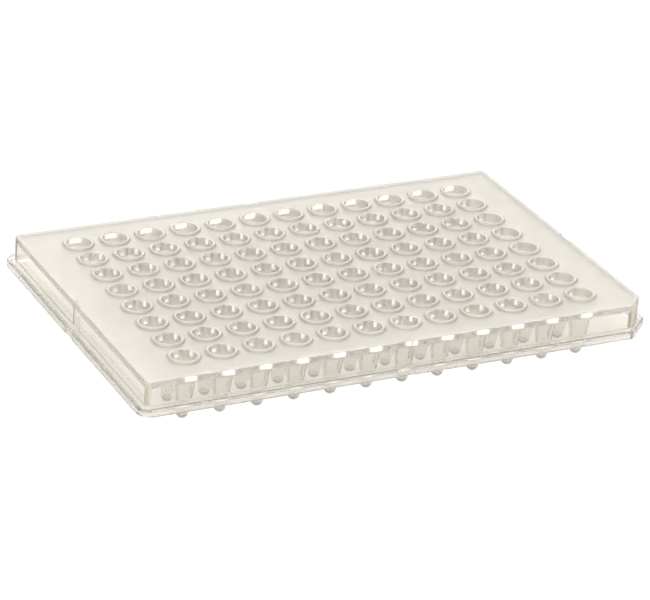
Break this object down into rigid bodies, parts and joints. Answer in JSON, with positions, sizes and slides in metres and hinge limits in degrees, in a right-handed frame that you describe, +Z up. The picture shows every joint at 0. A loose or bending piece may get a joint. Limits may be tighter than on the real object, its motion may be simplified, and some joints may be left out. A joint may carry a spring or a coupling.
{
  "type": "well plate",
  "caption": "Low-profile translucent well plate with tapered round-bottomed wells in a grid, raised rims, a half skirt with a lip, and one cut corner.",
  "frame": {"origin": "middle of the plate's base, level with the well tips", "axes": "+X along a row of wells, +Y across the rows, away from the cut corner, +Z up to the rims"},
  "size_m": [0.128, 0.0854, 0.0153],
  "materials": {
    "clear_plastic": "translucent warm white moulded polypropylene, smooth"
  },
  "bodies": {
    "root": {"well_plate": "clear_plastic"}
  },
  "joints": []
}
